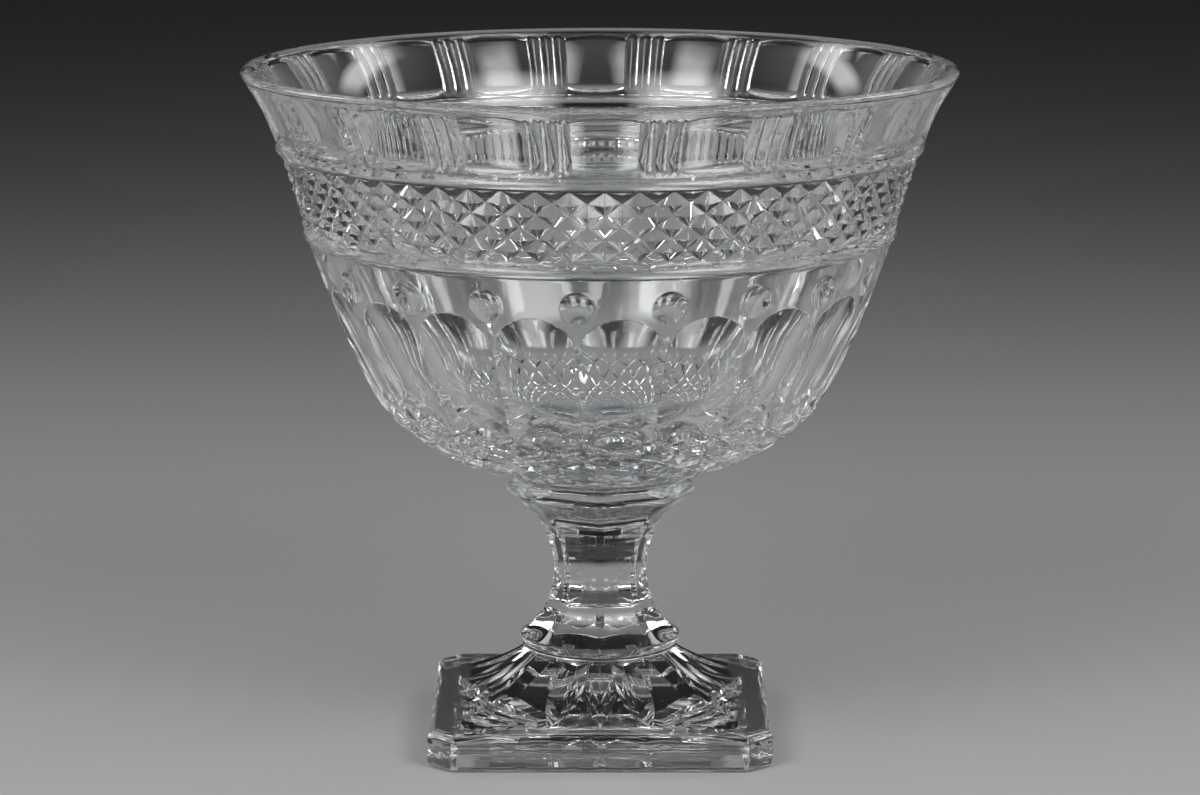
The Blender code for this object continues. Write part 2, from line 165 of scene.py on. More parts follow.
# Stem of the foot, with its skirt and its collar
SIDES = 8
THROAT_RADIUS = 0.0225
THROAT_HEIGHT = BASE_THICKNESS + SLOPE_RISE
SKIRT_RADIUS, SKIRT_HEIGHT = 0.0260, 0.0328
SKIRT_TUCK = 0.0016
SKIRT_START = -80
STEM_OUTLINE = ((SKIRT_RADIUS, SKIRT_HEIGHT), (0.0223, 0.0366), (0.0186, 0.0414),
                (0.0162, 0.0485), (0.0155, 0.0545), (0.0165, 0.0610),
                (0.0192, 0.0685), (0.0240, 0.0745), (0.0288, 0.0783))
COLLAR_RADIUS = 0.0310
COLLAR_ROUND = 0.0028
COLLAR_START = -35
CORNER_EASE = 0.0005

# Glass, with the fineness of its waves in the two pressings, then joint faces, adhesive and floor
GLASS_IOR = 1.52
GLASS_TINTS = (0.985, 0.99, 0.995), (0.965, 0.975, 0.98)
GLASS_SHADOW = (0.5, 0.505, 0.51, 1)
GLASS_ROUGHNESS = 0.02
BOWL_WAVES = 60.0
FOOT_WAVES = 80.0
WAVE_HEIGHT = 0.00003
TINT_SCALE = 35.0
SKIN_SCALE = 900.0
SKIN_RANGE = 0.35, 0.8
JOINT_TINTS = (0.985, 0.99, 0.99), (0.9, 0.91, 0.92)
SPECK_SCALE = 700.0
SPECK_RANGE = 0.62, 0.75
ADHESIVE_IOR = 1.04
ADHESIVE_CLEARNESS = 0.85
ADHESIVE_TINTS = (0.93, 0.94, 0.95), (0.86, 0.87, 0.88)
ADHESIVE_ROUGHNESS = 0.12, 0.3
HAZE_SCALE = 160.0
HAZE_RANGE = 0.3, 0.7
STUDIO_TINTS = (0.44, 0.445, 0.455), (0.47, 0.475, 0.48)
STUDIO_ROUGHNESS = 0.75
STUDIO_SHEEN = 0.2
CLOUD_SCALE = 6.0

# Studio. A lamp has a place, a width, a height and a brightness, counted in whites
LAMPS = {
    "left_box": ((-0.45, -0.58, 0.72), 0.64, 0.64, 8.2),
    "right_box": ((0.49, -0.56, 0.72), 0.64, 0.64, 8.2),
    "left_back_box": ((-0.60, 0.37, 0.74), 0.25, 0.5, 6.5),
    "right_back_box": ((0.60, 0.37, 0.74), 0.25, 0.5, 6.5),
}
LAMP_TARGET = Vector((0, 0, 0.12))
LAMP_FADE = 0.3
STUDIO_SIZE = 24.0
STUDIO_GAP = 0.0003
SKY_TINTS = (0.02, 0.02, 0.021), (0.012, 0.012, 0.0125)
SKY_FADE = 0.35
CAMERA_PLACE = (0.0, -1.419, 0.380)
CAMERA_DIP = 10.749
CAMERA_LENS = 133.5
CAMERA_SENSOR = 36.0
CAMERA_REACH = 100.0

# Fineness of the bowl's mesh. Inside each radius one in so many columns is enough
RING_COLUMNS = 320
THINNING = (0.01, 8), (0.03, 4), (0.06, 2)
CURVE_STEPS = 24
INNER_ROWS = 30
LIP_STEPS = 9
WINDOW_COLUMNS = 12
RIB_COLUMNS = 6
END_ROWS = 10
END_CROWDING = 1.2
MIDDLE_ROWS = 6
GROOVE_STEPS = 6
BEAD_STEPS = 9
DIMPLE_CELLS = 7
DIMPLE_FRAME = 2
PLAIN_COLUMNS = 8
PLAIN_ROWS = 3
FLUTE_COLUMNS = 8
FLUTE_ROWS = 22
FLUTE_CROWDING = 0.7
NECK_STEPS = 9
KEY_DIGITS = 4

# Fineness of the meshes of the foot and the film
EDGE_STEPS = 9
PLATE_ROWS = 6
COLUMN_WIDTH = 0.0045
SLOPE_ROWS = 34
FOOT_COLUMNS = (6, 6, 6, 6, 10, 6)
STEM_STOP = 45 - 180 / SIDES / 3
SKIRT_STEPS = 9
SKIRT_BLEND_ROWS = 5
STEM_ROWS = 44
COLLAR_STEPS = 12
FILM_STEPS = 5

# Kinds of face. By kind, an edge sharper than so many degrees is eased by a width
JOINT, GLASS, FLUTE, DIAMOND, LATTICE, CUT = range(6)
EASE = {
    GLASS: (26.0, 0.00012),
    FLUTE: (9.0, 0.00018),
    DIAMOND: (15.0, 0.00014),
    LATTICE: (15.0, 0.0002),
    CUT: (15.0, 0.00022),
}
SHARP_ANGLE = 40.0
WELD = 0.000001


def mix(a, b, share):
    return a + (b - a) * share


def curve_through(points, steps=CURVE_STEPS):
    """Points of a smooth curve through the given points, as an array."""
    points = np.array(points, float)
    stops = np.vstack((2 * points[0] - points[1], points, 2 * points[-1] - points[-2]))
    t = (np.arange(steps) / steps)[:, None]
    curve = []
    for a, b, c, d in zip(stops, stops[1:], stops[2:], stops[3:]):
        curve.append(b + 0.5 * t * (c - a + t * (2 * a - 5 * b + 4 * c - d + t * (3 * b - a - 3 * c + d))))
    return np.vstack((*curve, points[-1:]))


def crowded(count, low=-1.0, high=1.0):
    """Numbers from low to high that lie closer together towards both ends."""
    return mix(low, high, (1 + np.sin(np.linspace(-math.pi / 2, math.pi / 2, count + 1))) / 2)


class Outline:
    """A smooth falling curve of (radius, height) points, read by its length from the top."""

    def __init__(self, points):
        curve = curve_through(points)
        self.radius, self.height = curve.T
        steps = np.hypot(*np.diff(curve, axis=0).T)
        self.length = np.concatenate(([0.0], np.cumsum(steps)))
        self.total = self.length[-1]
        self.out_radius = -np.gradient(self.height, self.length)
        self.out_height = np.gradient(self.radius, self.length)

    def at(self, height):
        """Length down to a height."""
        return np.interp(-np.asarray(height), -self.height, self.length)

    def sunk(self, length, depth=0.0):
        """Radius and height at a length, moved square to the curve into the glass."""
        radius = np.interp(length, self.length, self.radius)
        height = np.interp(length, self.length, self.height)
        out_radius = np.interp(length, self.length, self.out_radius)
        out_height = np.interp(length, self.length, self.out_height)
        return radius - depth * out_radius, height - depth * out_height


class Ring:
    """A closed row of vertices in order of their angle."""

    def __init__(self, verts, angles):
        self.verts = list(verts)
        self.angles = list(angles)

    def __len__(self):
        return len(self.verts)

    def vert(self, i):
        return self.verts[i % len(self)]

    def angle(self, i):
        return self.angles[i % len(self)] + 360 * (i // len(self))

    def begun_at(self, start):
        """The same ring, begun at its vertex nearest to an angle."""
        away = [abs((angle - start + 180) % 360 - 180) for angle in self.angles]
        first = away.index(min(away))
        turns = 360 * round((start - self.angles[first]) / 360)
        places = range(first, first + len(self))
        return Ring([self.vert(i) for i in places], [self.angle(i) + turns for i in places])


class Shell:
    """A closed mesh in the making: its points, its faces and the kind of each face."""

    def __init__(self, turn=0.0, lift=0.0):
        self.turn = turn
        self.lift = lift
        self.points = []
        self.faces = []
        self.kinds = []

    def point(self, angle, radius, height):
        turn = math.radians(angle + self.turn)
        self.points.append((radius * math.sin(turn), -radius * math.cos(turn), height + self.lift))
        return len(self.points) - 1

    def ring(self, angles, radii, heights):
        angles = np.asarray(angles, float)
        radii = np.broadcast_to(radii, angles.shape)
        heights = np.broadcast_to(heights, angles.shape)
        return Ring([self.point(*place) for place in zip(angles, radii, heights)], angles)

    def round_ring(self, count, radius, height):
        return self.ring(np.arange(count) * 360 / count, radius, height)

    def face(self, verts, kind=GLASS):
        self.faces.append(tuple(verts))
        self.kinds.append(kind)

    def join(self, upper, lower, kind=GLASS):
        """Faces between two rings: four-sided where they match, and otherwise three-sided."""
        if len(upper) == len(lower):
            for i in range(len(upper)):
                self.face((upper.vert(i), lower.vert(i), lower.vert(i + 1), upper.vert(i + 1)), kind)
            return
        lower = lower.begun_at(upper.angle(0))
        i = j = 0
        while i < len(upper) or j < len(lower):
            upper_next = upper.angle(i) + upper.angle(i + 1)
            lower_next = lower.angle(j) + lower.angle(j + 1)
            if j == len(lower) or (i < len(upper) and upper_next <= lower_next):
                self.face((upper.vert(i), lower.vert(j), upper.vert(i + 1)), kind)
                i += 1
            else:
                self.face((upper.vert(i), lower.vert(j), lower.vert(j + 1)), kind)
                j += 1

    def chain(self, rings, kind=GLASS):
        for upper, lower in zip(rings, rings[1:]):
            self.join(upper, lower, kind)

    def cap(self, ring, height, kind=GLASS):
        middle = self.point(0.0, 0.0, height)
        for i in range(len(ring)):
            self.face((ring.vert(i), ring.vert(i + 1), middle), kind)

    def ease(self, bm):
        """Round the crisp edges a little, as on any pressing, and the arches over the flutes all along."""
        crisp = {kind: [] for kind in EASE}
        for edge in bm.edges:
            kinds = [face.material_index for face in edge.link_faces]
            if JOINT in kinds:
                continue
            kind = max(kinds)
            on_arch = set(kinds) == {GLASS, FLUTE}
            if on_arch or edge.calc_face_angle() > math.radians(EASE[kind][0]):
                crisp[kind].append(edge)
        for kind, (_, width) in EASE.items():
            edges = [edge for edge in crisp[kind] if edge.is_valid]
            bmesh.ops.bevel(bm, geom=edges, offset=width, segments=1, affect="EDGES", clamp_overlap=True)

    def piece(self, name, materials, slot, node):
        """The finished object, riding on the part in place of a node."""
        mesh = bpy.data.meshes.new(name)
        mesh.from_pydata(self.points, [], self.faces)
        mesh.polygons.foreach_set("material_index", self.kinds)
        bm = bmesh.new()
        bm.from_mesh(mesh)
        bmesh.ops.recalc_face_normals(bm, faces=bm.faces)
        self.ease(bm)
        bmesh.ops.remove_doubles(bm, verts=bm.verts, dist=WELD)
        for edge in bm.edges:
            edge.smooth = edge.calc_face_angle() < math.radians(SHARP_ANGLE)
        for face in bm.faces:
            face.smooth = True
            face.material_index = int(face.material_index == JOINT)
        bm.to_mesh(mesh)
        bm.free()
        for material in materials:
            mesh.materials.append(material)
        piece = bpy.data.objects.new(name, mesh)
        bpy.context.scene.collection.objects.link(piece)
        even = piece.modifiers.new("even_normals", "WEIGHTED_NORMAL")
        even.keep_sharp = True
        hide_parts(node)
        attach(piece, "root")


# Bowl

def outer_outline():
    """The outside of the bowl over the tips of its pattern, from the lip down to the neck."""
    return Outline([
        (RIM_RADIUS, BOWL_HEIGHT - LIP_ROUND),
        (FLARE_RADIUS, BOWL_HEIGHT - FLARE_DROP),
        (BELT_RADIUS, BOWL_HEIGHT - BELT_DROP),
        (FLANK_RADIUS, BOWL_HEIGHT - FLANK_DROP),
        (HAUNCH_RADIUS, BOWL_HEIGHT - HAUNCH_DROP),
        (SHOULDER_RADIUS, SHOULDER_RISE),
        (KEEL_RADIUS, KEEL_RISE),
        (NECK_RADIUS, NECK_RISE),
    ])


def inner_outline(outside):
    """The smooth inside of the bowl, from the lip down to the middle of the floor."""
    points = [(RIM_RADIUS - LIP_THICKNESS, BOWL_HEIGHT - LIP_ROUND)]
    for stop, wall in enumerate(WALLS, start=1):
        points.append(outside.sunk(outside.length[stop * CURVE_STEPS], wall))
    points.append((FLOOR_RADIUS, FLOOR_THICKNESS + FLOOR_DISH))
    points.append((0.0, FLOOR_THICKNESS))
    return Outline(points)


def inner_columns(radius):
    """Number of columns of a ring on the inside: fewer, the smaller it is."""
    for limit, share in THINNING:
        if radius < limit:
            return RING_COLUMNS // share
    return RING_COLUMNS


def inner_rings(shell, outside):
    """Rings up the inside, from the middle of the floor to the lip."""
    inside = inner_outline(outside)
    rings = []
    for length in np.linspace(inside.total, 0, INNER_ROWS + 1)[1:-1]:
        radius, height = inside.sunk(length)
        rings.append(shell.round_ring(inner_columns(radius), radius, height))
    shell.cap(rings[0], FLOOR_THICKNESS)
    return rings


def lip_rings(shell):
    """The round lip, from its inside to its outside."""
    half = LIP_THICKNESS / 2
    rings = []
    for turn in np.linspace(math.pi, 0, LIP_STEPS + 1):
        radius = RIM_RADIUS - half + half * math.cos(turn)
        rings.append(shell.round_ring(RING_COLUMNS, radius, BOWL_HEIGHT - LIP_ROUND * (1 - math.sin(turn))))
    return rings


def panel_ring(shell, outside, angles, lengths, depths, start=0.0):
    """A ring right round the bowl, from the angles, lengths and depths on one panel."""
    panels = np.repeat(np.arange(PANELS) * PANEL_ANGLE, len(angles)) + start
    radii, heights = outside.sunk(lengths, depths)
    return shell.ring(panels + np.tile(angles, PANELS), np.tile(radii, PANELS), np.tile(heights, PANELS))


def window_rings(shell, outside):
    """The top band: on each panel a dished window and a group of upright ribs, all with arched ends."""
    half = (PANEL_ANGLE - RIBS * RIB_PITCH) / 2
    window, rib = crowded(WINDOW_COLUMNS), crowded(RIB_COLUMNS)[1:]
    ribs = [half + (place + 0.5 + rib / 2) * RIB_PITCH for place in range(RIBS)]
    angles = np.concatenate((half * window, *ribs))[:-1]
    across = np.concatenate((window, np.tile(rib, RIBS)))[:-1]
    dished = np.arange(len(across)) <= WINDOW_COLUMNS
    depths = np.where(dished, mix(WINDOW_DEPTH, RIB_DEPTH, across ** 2), RIB_DEPTH * across ** 2)
    top_arch = END_ARCH * np.abs(across) ** np.where(dished, WINDOW_ARCH_POWER, RIB_TOP_POWER)
    low_arch = -END_ARCH * np.abs(across) ** np.where(dished, WINDOW_ARCH_POWER, RIB_LOW_POWER)
    top = outside.at(WINDOW_TOP)
    run = outside.at(WINDOW_BOTTOM) - top
    end_rows = np.linspace(0, 1, END_ROWS + 1) ** END_CROWDING * END_HEIGHT
    middle_rows = np.linspace(END_HEIGHT, run - END_HEIGHT, MIDDLE_ROWS + 1)[1:-1]
    rings = []
    for drop in (*end_rows, *middle_rows, *(run - end_rows[::-1])):
        from_end = min(drop, run - drop)
        arch = (top_arch if drop == from_end else low_arch) * max(1 - from_end / END_HEIGHT, 0)
        scoop = 1 - (1 - min(from_end / END_SCOOP, 1)) ** END_SCOOP_POWER
        rings.append(panel_ring(shell, outside, angles, top + drop + arch, depths * scoop))
    return rings


def band_rings(shell, outside, top):
    """A plain land, a rounded groove and a round bead right round the bowl."""
    groove = np.linspace(0, 1, GROOVE_STEPS + 1)
    bead = np.linspace(0, 1, BEAD_STEPS + 1)[1:]
    drops = RING_LAND + np.concatenate((RING_GROOVE * groove, RING_GROOVE + RING_BEAD * bead))
    depths = RING_RELIEF * np.concatenate((np.sin(math.pi * groove), -np.sin(math.pi * bead)))
    rings = []
    for drop, depth in zip(drops, depths):
        rings.append(shell.round_ring(RING_COLUMNS, *outside.sunk(outside.at(top - drop), depth)))
    return rings


def diamond_rings(shell, outside):
    """Rows of the pointed band, where high tips and low corners take turns."""
    columns = 2 * PANELS * DIAMONDS_PER_PANEL
    column = np.arange(columns)
    rings = []
    for row in range(DIAMOND_ROWS + 1):
        length = outside.at(DIAMOND_TOP - row * DIAMOND_ROW_HEIGHT)
        low = (column + row) % 2 == 0
        rings.append(shell.ring(360 * column / columns, *outside.sunk(length, DIAMOND_DEPTH * low)))
    for row, (upper, lower) in enumerate(zip(rings, rings[1:])):
        for i in range(columns):
            a, b, c, d = upper.vert(i), upper.vert(i + 1), lower.vert(i + 1), lower.vert(i)
            halves = ((a, d, c), (a, c, b)) if (i + row) % 2 == 0 else ((a, d, b), (d, c, b))
            for half in halves:
                shell.face(half, DIAMOND)
    return rings


def arch_edge(across):
    """Height of the arch over a flute, from its middle at 0 to its ridge at 1."""
    return ARCH_TOP - ARCH_RISE * (1 - np.sqrt(np.clip(1 - across ** 2, 0, 1)))


def arch_over(angles):
    """Height of the arches at angles from a ridge, up to the next ridge on either side."""
    from_ridge = np.minimum(np.abs(angles), PANEL_ANGLE - np.abs(angles))
    return arch_edge(1 - from_ridge / (PANEL_ANGLE / 2))


def dimple_cells():
    """Corners of a patch of mesh: rings about a dimple that turn square further out.

    They are given as rows of places aside of the dimple's middle and above it, in radii of the dimple.
    """
    reach = DIMPLE_CELLS + DIMPLE_FRAME
    steps = np.arange(-reach, reach + 1)
    aside, down = np.meshgrid(steps, steps)
    ring = np.maximum(np.abs(aside), np.abs(down))
    from_middle = np.hypot(aside, down)
    inside = np.clip((reach - ring) / DIMPLE_FRAME, 0, 1)
    scale = mix(1.0, ring / np.maximum(from_middle, 1), inside)
    return aside * scale / DIMPLE_CELLS, -down * scale / DIMPLE_CELLS


def clear_of_arch(heights, edge, low):
    """Heights in a dimple's patch, lifted where its low rows would reach over the edge of an arch."""
    high = DIMPLE_HEIGHT - DIMPLE_RADIUS / 2
    lift = np.maximum(edge + ARCH_MARGIN - low, 0)
    return heights + lift * np.clip((high - heights) / (high - low), 0, 1)


def dimple_rings(shell, outside):
    """The plain band over the arches, with a round dished hollow above each ridge."""
    aside, up = dimple_cells()
    last_cell = len(aside) - 1
    last_row = 2 * PLAIN_ROWS + len(aside)
    step = math.degrees(DIMPLE_RADIUS / FLANK_RADIUS)
    patch_half, patch_low = step * aside.max(), DIMPLE_HEIGHT + DIMPLE_RADIUS * up.min()
    plain = crowded(PLAIN_COLUMNS, patch_half, PANEL_ANGLE - patch_half)[1:-1]
    rings = []
    for row in range(1, last_row):
        cell = min(max(row - PLAIN_ROWS, 0), last_cell)
        angles = step * aside[cell]
        edge = arch_over(angles)
        heights = clear_of_arch(DIMPLE_HEIGHT + DIMPLE_RADIUS * up[cell], edge, patch_low)
        if row < PLAIN_ROWS:
            heights = mix(BAND_TOP, heights, row / PLAIN_ROWS)
        under = max(row - PLAIN_ROWS - last_cell, 0)
        heights = mix(heights, edge, under / (PLAIN_ROWS + 1))
        hollow = np.clip(1 - aside[cell] ** 2 - up[cell] ** 2, 0, 1)
        plain_heights = mix(BAND_TOP, arch_over(plain), row / last_row)
        lengths = outside.at(np.concatenate((heights, plain_heights)))
        depths = DIMPLE_DEPTH * np.concatenate((hollow, np.zeros(len(plain))))
        ridge = FLUTE_TURN + PANEL_ANGLE / 2
        rings.append(panel_ring(shell, outside, np.concatenate((angles, plain)), lengths, depths, ridge))
    return rings


def lattice_length(outside, level):
    """Length down the outside to a level of the lattice."""
    top = outside.at(LATTICE_RISE)
    return top + (outside.total - top) * level / LATTICE_ROWS


def lattice_key(angle, level):
    """Name of a point of the lattice, the same from all the cells that share it."""
    return round(round(angle, KEY_DIGITS) % 360, KEY_DIGITS), round(level, KEY_DIGITS)


def flute_rings(shell, outside, corners):
    """Arched hollow flutes. Their lower ends are the upper edges of the lattice's top diamonds."""
    half = np.linspace(0, 1, FLUTE_COLUMNS + 1)
    across = np.concatenate((-half[::-1], half[1:-1]))
    aside = np.abs(across)
    start, end = outside.at(arch_edge(aside)), lattice_length(outside, aside)
    rows = mix(np.linspace(0, 1, FLUTE_ROWS + 1), crowded(FLUTE_ROWS, 0.0, 1.0), FLUTE_CROWDING)
    rings = []
    for share in rows[:-1]:
        lengths = mix(start, end, share)
        heights = outside.sunk(lengths)[1]
        up = np.clip((heights - ARCH_SPRING) / ARCH_RISE, 0, 1)
        grown = mix(ARCH_SHALLOW, 1.0, np.clip((ARCH_TOP - heights) / FLUTE_RUN, 0, 1))
        dish = np.clip(1 - aside ** 2 - up ** 2, 0, 1)
        depths = mix(FLUTE_DEPTH, FLUTE_END_DEPTH, share ** 2) * grown * dish
        fall = max(share - RIDGE_END, 0) / (1 - RIDGE_END)
        depths += LATTICE_DEPTH * (aside * fall) ** 2
        rings.append(panel_ring(shell, outside, across * PANEL_ANGLE / 2, lengths, depths, FLUTE_TURN))
    angles = rings[0].angles
    ends = [corners[lattice_key(angle, level)] for angle, level in zip(angles, np.tile(aside, PANELS))]
    return [*rings, Ring(ends, angles)]


def lattice_depth(row, p, q):
    """Depth of a flat-topped cell of the lattice, where p and q run down its upper edges."""
    edge = mix(FLUTE_END_DEPTH, LATTICE_DEPTH, max(p, q) ** 2) if row == 0 else LATTICE_DEPTH
    from_edge = min(p, q, 1 - p, 1 - q)
    return edge * max(1 - from_edge / LATTICE_BEVEL, 0)


def cell_faces(i, j, count):
    """A cell of a square grid as one face, or as two where a diagonal of the grid crosses it."""
    a, b, c, d = (i, j), (i, j + 1), (i + 1, j + 1), (i + 1, j)
    if i == j:
        return (a, b, c), (a, c, d)
    if i + j == count - 1:
        return (a, b, d), (b, c, d)
    return ((a, b, c, d),)


def add_lattice(shell, outside):
    """Wide bevelled diamonds in staggered rows.

    Gives all the points that they share, and the ring at their lower end.
    """
    count = FLUTE_COLUMNS
    steps = np.linspace(0, 1, count + 1)
    corners = {}
    for row in range(LATTICE_ROWS - 1):
        for panel in range(PANELS):
            centre = FLUTE_TURN + PANEL_ANGLE * (panel + row % 2 / 2)
            grid = {}
            for i, j in np.ndindex(count + 1, count + 1):
                p, q = steps[i], steps[j]
                angle, level = centre + (p - q) * PANEL_ANGLE / 2, row + p + q
                key = lattice_key(angle, level)
                if key not in corners:
                    place = outside.sunk(lattice_length(outside, level), lattice_depth(row, p, q))
                    corners[key] = shell.point(angle, *place)
                grid[i, j] = corners[key]
            for i, j in np.ndindex(count, count):
                for cell in cell_faces(i, j, count):
                    shell.face([grid[place] for place in cell], LATTICE)
    verts, angles = [], []
    for panel in range(PANELS):
        centre = FLUTE_TURN + PANEL_ANGLE * panel
        for step in range(2 * count):
            p, q = steps[min(step, count)], steps[min(2 * count - step, count)]
            angles.append(centre + (p - q) * PANEL_ANGLE / 2)
            verts.append(corners[lattice_key(angles[-1], LATTICE_ROWS - 2 + p + q)])
    return corners, Ring(verts, angles)


def neck_rings(shell, angles):
    """The round bead at the neck, turned in to the pad."""
    half = NECK_RISE / 2
    rings = []
    for turn in np.radians(np.linspace(NECK_START, -90, NECK_STEPS)):
        rings.append(shell.ring(angles, PAD_RADIUS + half * math.cos(turn), half * (1 + math.sin(turn))))
    return rings


def build_bowl(materials):
    shell = Shell(BOWL_TURN, PAD_HEIGHT)
    outside = outer_outline()
    corners, lattice_end = add_lattice(shell, outside)
    diamonds = diamond_rings(shell, outside)
    upper = [*inner_rings(shell, outside), *lip_rings(shell), *window_rings(shell, outside)]
    shell.chain([*upper, *band_rings(shell, outside, WINDOW_BOTTOM), diamonds[0]])
    flutes = flute_rings(shell, outside, corners)
    lower = [*band_rings(shell, outside, DIAMOND_BOTTOM), *dimple_rings(shell, outside)]
    shell.chain([diamonds[-1], *lower, flutes[0]])
    shell.chain(flutes, FLUTE)
    neck = neck_rings(shell, lattice_end.angles)
    bonded = shell.ring(lattice_end.angles, BOND_RADIUS, 0.0)
    shell.chain([lattice_end, *neck, bonded])
    shell.cap(bonded, 0.0, JOINT)
    shell.piece("pressed_bowl", materials, "bowl_glass", "bowl")


# Foot

def leaf_half_width(share):
    """Half width of a leaf at a share of the way up the slope."""
    shares, widths = curve_through(LEAF_OUTLINE).T
    return np.interp(share, shares, widths)


def foot_angles(leaf_half_angle, corner):
    """Angles right round the foot that follow the leaves and the corners of the base at one level."""
    leaf_low, leaf_high = LEAF_ANGLE - leaf_half_angle, LEAF_ANGLE + leaf_half_angle
    stops = (0.0, leaf_half_angle, leaf_low, LEAF_ANGLE, leaf_high, corner, 45.0)
    half = [0.0]
    for low, high, count in zip(stops, stops[1:], FOOT_COLUMNS):
        half.extend(np.linspace(low, high, count + 1)[1:])
    face = [*half, *[90 - angle for angle in half[-2:0:-1]]]
    return np.array([90 * turn + angle for turn in range(4) for angle in face])


def leaf_share(angles, leaf_half_angle):
    """How deep into a leaf an angle lies, from 0 at its edges to 1 along the crease in its middle."""
    across = np.abs((angles + 45) % 90 - 45)
    aside = np.minimum(np.minimum(across, np.abs(across - LEAF_ANGLE)) / leaf_half_angle, 1)
    return mix(1 - aside ** 2, 1 - aside, LEAF_CREASE)


def ripple(angles):
    """Uneven waves along the edges of the base, from 0 to 1."""
    turns = np.radians(angles)
    return sum((share * np.sin(count * turns + start) for share, count, start in RIPPLE_WAVES), 0.5)


def mottle(angles, height, corner):
    """Small uneven dents over the cut corners of the base, from 0 to 1."""
    on_corner = np.abs(angles % 90 - 45) < 45 - corner - MOTTLE_EDGE
    return on_corner * (0.5 + 0.5 * np.sin(MOTTLE_PER_DEGREE * angles + MOTTLE_PER_METRE * height))


def square_ring(shell, half, chamfer, height, leaf_width, leaf_depth=0.0, wave=0.0, dent=0.0):
    """A ring round a square with cut corners, sunk along the leaves, waved or dented."""
    leaf_half_angle = math.degrees(leaf_width / half)
    corner = math.degrees(math.atan2(half - chamfer, half))
    angles = foot_angles(leaf_half_angle, corner)
    turns = np.radians(45 - np.abs(angles % 90 - 45))
    cut = (2 * half - chamfer) / (np.cos(turns) + np.sin(turns))
    radii = np.minimum(half / np.cos(turns), cut)
    radii = radii - wave * ripple(angles) - dent * mottle(angles, height, corner)
    return shell.ring(angles, radii, height - leaf_depth * leaf_share(angles, leaf_half_angle))


def stem_ring(shell, radius, height, roundness=0.0):
    """A ring round the eight sides of the stem, or part of the way to a circle."""
    angles = foot_angles(math.degrees(leaf_half_width(1.0) / THROAT_RADIUS), STEM_STOP)
    within = np.radians(angles % (360 / SIDES) - 180 / SIDES)
    flat = np.minimum(radius * math.cos(math.pi / SIDES) / np.cos(within), radius - CORNER_EASE)
    return shell.ring(angles, mix(flat, radius, roundness), height)


def edge_rings(shell, edge, middle, turns):
    """A rounded edge of the plate, rippled most half way round, about the height of its middle."""
    rings = []
    for turn in np.radians(turns):
        inset = edge * (1 - math.cos(turn))
        height = middle - edge * math.sin(turn)
        wave = BASE_RIPPLE * edge / BASE_TOP_EDGE * math.sin(2 * abs(turn))
        chamfer = BASE_CHAMFER - CHAMFER_SHRINK * inset
        rings.append(square_ring(shell, BASE_HALF - inset, chamfer, height, COLUMN_WIDTH, wave=wave))
    return rings


def plate_rings(shell):
    """The square plate with its cut corners, from its underside up."""
    low, high = BASE_LOW_EDGE, BASE_THICKNESS - BASE_TOP_EDGE
    low_edge = edge_rings(shell, BASE_LOW_EDGE, low, np.linspace(90, 0, EDGE_STEPS))
    side = []
    for height in np.linspace(low, high, PLATE_ROWS + 1)[1:-1]:
        side.append(square_ring(shell, BASE_HALF, BASE_CHAMFER, height, COLUMN_WIDTH, dent=BASE_MOTTLE))
    top_edge = edge_rings(shell, BASE_TOP_EDGE, high, np.linspace(0, -90, EDGE_STEPS))
    return [*low_edge, *side, *top_edge]


def slope_rings(shell):
    """The hollow slope with its leaves, from the ledge on the plate up to the throat."""
    ledge, throat = BASE_HALF - LEDGE_WIDTH, THROAT_RADIUS * math.cos(math.pi / SIDES)
    ledge_chamfer = BASE_CHAMFER - CHAMFER_SHRINK * LEDGE_WIDTH
    rings = []
    for share in np.linspace(0, 1, SLOPE_ROWS + 1):
        half, chamfer = mix(ledge, throat, share), mix(ledge_chamfer, HIP_CHAMFER, share)
        height = BASE_THICKNESS + SLOPE_RISE * mix(share ** SLOPE_POWER, share, SLOPE_START)
        width = leaf_half_width(share)
        depth = LEAF_SLOPE * (width - leaf_half_width(0.0))
        rings.append(square_ring(shell, half, chamfer, height, width, depth))
    return rings


def stem_rings(shell):
    """The round-bottomed skirt, the waisted shaft and the collar under the bowl."""
    skirt_drop = SKIRT_HEIGHT - THROAT_HEIGHT - SKIRT_TUCK / 2
    rings = []
    for turn in np.radians(np.linspace(SKIRT_START, 0, SKIRT_STEPS)):
        radius = SKIRT_RADIUS - SKIRT_TUCK * (1 - math.cos(turn))
        rings.append(stem_ring(shell, radius, SKIRT_HEIGHT + skirt_drop * math.sin(turn), 1.0))
    shaft = curve_through(STEM_OUTLINE, STEM_ROWS // (len(STEM_OUTLINE) - 1))
    for row, (radius, height) in enumerate(shaft[1:], start=1):
        rings.append(stem_ring(shell, radius, height, max(1 - row / SKIRT_BLEND_ROWS, 0)))
    for turn in np.radians(np.linspace(COLLAR_START, 90, COLLAR_STEPS)):
        radius = COLLAR_RADIUS - COLLAR_ROUND * (1 - math.cos(turn))
        rings.append(stem_ring(shell, radius, FOOT_HEIGHT - COLLAR_ROUND * (1 - math.sin(turn))))
    return rings


def build_foot(materials):
    shell = Shell()
    rings = [*plate_rings(shell), *slope_rings(shell), *stem_rings(shell)]
    bonded = shell.ring(rings[-1].angles, BOND_RADIUS, FOOT_HEIGHT)
    shell.chain([*rings, bonded], CUT)
    shell.cap(rings[0], 0.0, CUT)
    shell.cap(bonded, FOOT_HEIGHT, JOINT)
    shell.piece("pressed_foot", materials, "foot_glass", "foot")


# Adhesive

